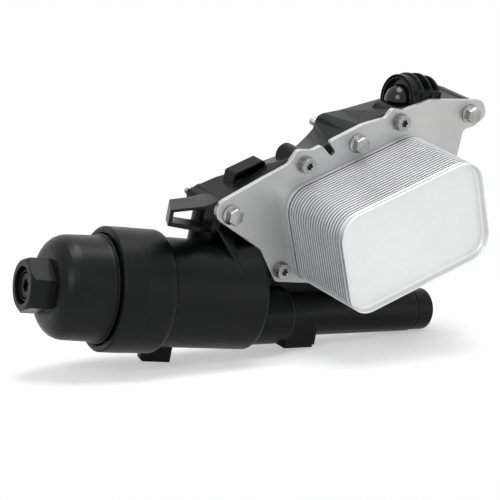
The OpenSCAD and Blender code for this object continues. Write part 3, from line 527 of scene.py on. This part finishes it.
def makeCoolerStack(setting):
    shape, top = startOutline(setting, setting["stackFrom"], setting["seam"])
    pitch, rim = dishPitch(setting), setting["rimHeight"]
    for dish in range(setting["dishes"]):
        low = setting["stackFrom"] + dish * pitch
        high = low + pitch
        steps = [
            (low + pitch * setting["seamTop"], setting["seam"]),
            (low + pitch * setting["wallFrom"], setting["wallLean"]),
            (high - rim, setting["wallLean"] / 2),
        ]
        steps += [(high - rim * share, inset) for share, inset in setting["rimCurve"]]
        steps.append((high, setting["seam"]))
        for z, inset in steps:
            top = raiseOutline(shape, top, setting, z, inset)
    stack = finishCooler("coolerStack", shape, setting, ["coolerStack"])
    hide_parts("cooler_dish_stack")


def makeFrontDish(setting, dish):
    shape, top = startOutline(setting, setting["stackTo"], setting["seam"])
    base, pitch = setting["stackTo"], dishPitch(setting)
    front, lip, fillet = dish["front"], dish["lip"], dish["fillet"]
    rise, width = lip * dish["lipRise"], lip * dish["lipWidth"]
    steps = [(base + dish["baseRise"], setting["wallLean"])]
    steps += [(base + pitch * share, inset) for share, inset in dish["baseCurve"]]
    steps.append((base + pitch + dish["wallRise"], setting["wallLean"]))
    steps.append((front - lip * dish["lipDrop"], dish["wallInset"]))
    for turn in range(dish["lipSteps"] + 1):
        angle = math.pi * turn / dish["lipSteps"]
        z = front - rise + rise * math.sin(angle)
        steps.append((z, width * (1 - math.cos(angle)) / 2))
    for z, inset in steps:
        top = raiseOutline(shape, top, setting, z, inset)
    for turn in range(dish["filletSteps"] + 1):
        angle = math.pi / 2 * turn / dish["filletSteps"]
        z = front - dish["sink"] + fillet * (1 - math.sin(angle))
        inset = width + fillet * (1 - math.cos(angle)) + dish["filletGap"]
        top = raiseOutline(shape, top, setting, z, inset, 1)
    for face in top:
        face.material_index = 1
    tray = finishCooler("coolerFrontDish", shape, setting, ["coolerStack", "coolerFace"])
    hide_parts("cooler_front_dish")


makeCoolerStack(cooler)
makeFrontDish(cooler, frontDish)


# Rings and thread around the filter axis, all on the screw cap
filterAxis = {"face": (-0.1677, -0.0179, -0.1054), "lean": 10.4, "steps": 128}
capLip = {
    "from": 0.0009,
    "to": 0.0021,
    "inner": 0.0325,
    "outer": 0.0349,
    "round": 0.0004,
    "sharpest": 60,
}
recessRing = {
    "from": 0.0459,
    "to": 0.0508,
    "inner": 0.0088,
    "outer": 0.0099,
    "round": 0.0003,
    "sharpest": 60,
}
capThread = {
    "from": -0.0035,
    "pitch": 0.004,
    "turns": 4,
    "root": 0.0355,
    "crest": 0.03588,
    "rootShare": 0.3,
    "crestShare": 0.08,
    "sharpest": 50,
}


def axisPlace(setting):
    lean = math.radians(setting["lean"])
    out = Vector((-math.cos(lean), math.sin(lean), 0))
    up = Vector((0, 0, 1))
    turn = Matrix((up, out.cross(up), out)).transposed().to_4x4()
    return Matrix.Translation(setting["face"]) @ turn


def spinProfile(points, steps):
    shape = bmesh.new()
    verts = [shape.verts.new((radius, 0, z)) for radius, z in points]
    nextVerts = verts[1:] + verts[:1]
    edges = [shape.edges.new(ends) for ends in zip(verts, nextVerts)]
    bmesh.ops.spin(
        shape,
        geom=verts + edges,
        cent=(0, 0, 0),
        axis=(0, 0, 1),
        angle=math.tau,
        steps=steps,
        use_merge=True,
    )
    return shape


def finishOnCap(name, shape, setting, axis):
    shadeSmooth(shape, setting["sharpest"])
    finishPiece(name, shape, axisPlace(axis), ["capBlack"], "screw_cap")


def makeRing(name, setting, axis):
    low, high, edge = setting["from"], setting["to"], setting["round"]
    points = [
        (setting["inner"], low),
        (setting["outer"] - edge, low),
        (setting["outer"], low + edge),
        (setting["outer"], high - edge),
        (setting["outer"] - edge, high),
        (setting["inner"], high),
    ]
    shape = spinProfile(points, axis["steps"])
    finishOnCap(name, shape, setting, axis)


def makeCapThread(setting, axis):
    thread = None
    for turn in range(setting["turns"]):
        middle = setting["from"] - turn * setting["pitch"]
        half = setting["pitch"] * setting["rootShare"]
        tip = setting["pitch"] * setting["crestShare"]
        points = [
            (setting["root"], middle - half),
            (setting["crest"], middle - tip),
            (setting["crest"], middle + tip),
            (setting["root"], middle + half),
        ]
        thread = joinShapes(thread, spinProfile(points, axis["steps"]))
    finishOnCap("capThread", thread, setting, axis)


makeRing("capLipRing", capLip, filterAxis)
makeRing("capRecessRing", recessRing, filterAxis)
makeCapThread(capThread, filterAxis)
print("cooler dishes and cap rings ready")


# Long bolts: flanged hexagon heads on the plate, and threaded tips behind the engine face
longBolt = {
    "places": [(-0.0912, -0.0495), (0, 0), (0.0916, 0.0228)],
    "seat": 0.037,
    "flange": 0.0066,
    "flangeEdge": 0.0009,
    "flangeHeight": 0.0018,
    "head": 0.0064,
    "flats": 0.01,
    "chamfer": 0.0006,
    "shank": 0.003,
    "tip": -0.0135,
    "threadFrom": -0.0015,
    "threadPitch": 0.001,
    "threadDepth": 0.0003,
    "neckRadius": 0.0029,
    "flangeCurve": ((0.3, 0), (0, 0.3), (0, 0.7), (0.4, 1)),
    "chamferSteps": 3,
    "topBand": 0.0001,
    "steps": 48,
    "sharpest": 35,
}


def boltPlace(across, up):
    turn = Matrix(((1, 0, 0), (0, 0, 1), (0, -1, 0))).transposed().to_4x4()
    return Matrix.Translation((across, 0, up)) @ turn


def shankProfile(setting):
    root = setting["shank"] - setting["threadDepth"]
    half = setting["threadPitch"] / 2
    points = [(0, setting["tip"]), (root, setting["tip"])]
    z = setting["tip"] + half
    while z < setting["threadFrom"]:
        points += [(setting["shank"], z), (root, z + half)]
        z += setting["threadPitch"]
    neck = setting["neckRadius"]
    return points + [(neck, setting["threadFrom"]), (neck, setting["seat"])]


def boltShape(setting):
    seat, flange, rim = setting["seat"], setting["flange"], setting["flangeEdge"]
    top, headTop = seat + setting["flangeHeight"], seat + setting["head"]
    points = shankProfile(setting)
    for inset, rise in setting["flangeCurve"]:
        points.append((flange - rim * inset, seat + rim * rise))
    points += [(setting["flats"] / 2, top), (0, top)]
    shape = spinProfile(points, setting["steps"])
    turned = set(shape.verts)
    corner = setting["flats"] / math.sqrt(3)
    hexagon = bmesh.ops.create_cone(
        shape,
        cap_ends=True,
        segments=6,
        radius1=corner,
        radius2=corner,
        depth=headTop - top,
    )
    lift = (0, 0, (top + headTop) / 2)
    bmesh.ops.translate(shape, verts=hexagon["verts"], vec=lift)
    topEdges = [
        edge
        for edge in shape.edges
        if edge.verts[0] not in turned
        and min(vert.co.z for vert in edge.verts) > headTop - setting["topBand"]
    ]
    bmesh.ops.bevel(
        shape,
        geom=topEdges,
        offset=setting["chamfer"],
        affect="EDGES",
        segments=setting["chamferSteps"],
        profile=0.5,
        material=-1,
    )
    shadeSmooth(shape, setting["sharpest"])
    return shape


def makeLongBolts(setting):
    bolts = None
    for across, up in setting["places"]:
        bolt = boltShape(setting)
        place = boltPlace(across, up)
        bmesh.ops.transform(bolt, matrix=place, verts=bolt.verts)
        bolts = joinShapes(bolts, bolt)
    still = Matrix.Identity(4)
    piece = finishPiece("longBolts", bolts, still, ["zincBolt"], "housing")
    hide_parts("long_bolts_upper")
    print("long bolts ready")


makeLongBolts(longBolt)


# Floor, light and background
studio = {
    "floorUp": (-0.090, 0.208, 0.974),
    "floorRadius": 0.34,
    "floorSides": 96,
    "floorShade": 0.62,
    "floorGlow": 0.42,
    "ambient": 0.55,
}
lamps = [
    {
        "name": "topSoft",
        "place": (-0.1, 0.2, 1.1),
        "size": (0.9, 0.6),
        "power": 12,
        "aim": (0, -0.03, -0.05),
    },
    {
        "name": "keySoft",
        "place": (-1.1, -0.5, 0.55),
        "size": (0.35, 0.6),
        "power": 5,
        "aim": (0, -0.03, -0.05),
    },
    {
        "name": "frontSoft",
        "place": (0.75, -1.3, 0.45),
        "size": (0.9, 0.9),
        "power": 3,
        "aim": (0, -0.06, -0.05),
    },
]


def seenShare(tree):
    path = tree.nodes.new("ShaderNodeLightPath")
    total = None
    for kind in ("Is Camera Ray", "Is Glossy Ray", "Is Transmission Ray"):
        if total is None:
            total = path.outputs[kind]
            continue
        most = tree.nodes.new("ShaderNodeMath")
        most.operation = "MAXIMUM"
        tree.links.new(total, most.inputs[0])
        tree.links.new(path.outputs[kind], most.inputs[1])
        total = most.outputs[0]
    return total


def makeFloor(setting):
    up = Vector(setting["floorUp"]).normalized()
    points = [vert.co for node in cadNodes.values() for vert in node.data.vertices]
    lowest = min(up.dot(point) for point in points)
    sheet = bmesh.new()
    sides, radius = setting["floorSides"], setting["floorRadius"]
    bmesh.ops.create_circle(sheet, cap_ends=True, segments=sides, radius=radius)
    mesh = bpy.data.meshes.new("floorSheet")
    turn = up.to_track_quat("Z", "Y").to_matrix().to_4x4()
    middle = (cadLow + cadHigh) / 2
    middle -= up * (up.dot(middle) - lowest)
    bmesh.ops.transform(sheet, matrix=Matrix.Translation(middle) @ turn, verts=sheet.verts)
    sheet.to_mesh(mesh)
    sheet.free()
    floor = bpy.data.objects.new("floorSheet", mesh)
    bpy.context.scene.collection.objects.link(floor)
    material = bpy.data.materials.new("floorWhite")
    material.use_nodes = True
    tree = material.node_tree
    tree.nodes.clear()
    diffuse = tree.nodes.new("ShaderNodeBsdfDiffuse")
    diffuse.inputs["Color"].default_value = (*[setting["floorShade"]] * 3, 1)
    glow = tree.nodes.new("ShaderNodeEmission")
    glow.inputs["Color"].default_value = (1, 1, 1, 1)
    strength = tree.nodes.new("ShaderNodeMath")
    strength.operation = "MULTIPLY"
    strength.inputs[1].default_value = setting["floorGlow"]
    tree.links.new(seenShare(tree), strength.inputs[0])
    tree.links.new(strength.outputs[0], glow.inputs["Strength"])
    both = tree.nodes.new("ShaderNodeAddShader")
    tree.links.new(diffuse.outputs[0], both.inputs[0])
    tree.links.new(glow.outputs[0], both.inputs[1])
    out = tree.nodes.new("ShaderNodeOutputMaterial")
    tree.links.new(both.outputs[0], out.inputs["Surface"])
    mesh.materials.append(material)


def makeLamps(settings):
    for lamp in settings:
        data = bpy.data.lights.new(lamp["name"], "AREA")
        data.shape = "RECTANGLE"
        data.size, data.size_y = lamp["size"]
        data.energy = lamp["power"]
        light = bpy.data.objects.new(lamp["name"], data)
        bpy.context.scene.collection.objects.link(light)
        light.location = lamp["place"]
        light.rotation_mode = "QUATERNION"
        back = Vector(lamp["place"]) - Vector(lamp["aim"])
        light.rotation_quaternion = back.to_track_quat("Z", "Y")


def makeWorld(setting):
    world = bpy.data.worlds.new("paleStudio")
    bpy.context.scene.world = world
    world.use_nodes = True
    tree = world.node_tree
    tree.nodes.clear()
    sky = tree.nodes.new("ShaderNodeBackground")
    sky.inputs["Color"].default_value = (1, 1, 1, 1)
    level = spread(tree, seenShare(tree), setting["ambient"], 1, 0, 1)
    tree.links.new(level, sky.inputs["Strength"])
    out = tree.nodes.new("ShaderNodeOutputWorld")
    tree.links.new(sky.outputs[0], out.inputs["Surface"])


makeCamera(photoCamera)
makeFloor(studio)
makeLamps(lamps)
makeWorld(studio)
bpy.context.scene.view_settings.view_transform = "Standard"
print("studio ready")
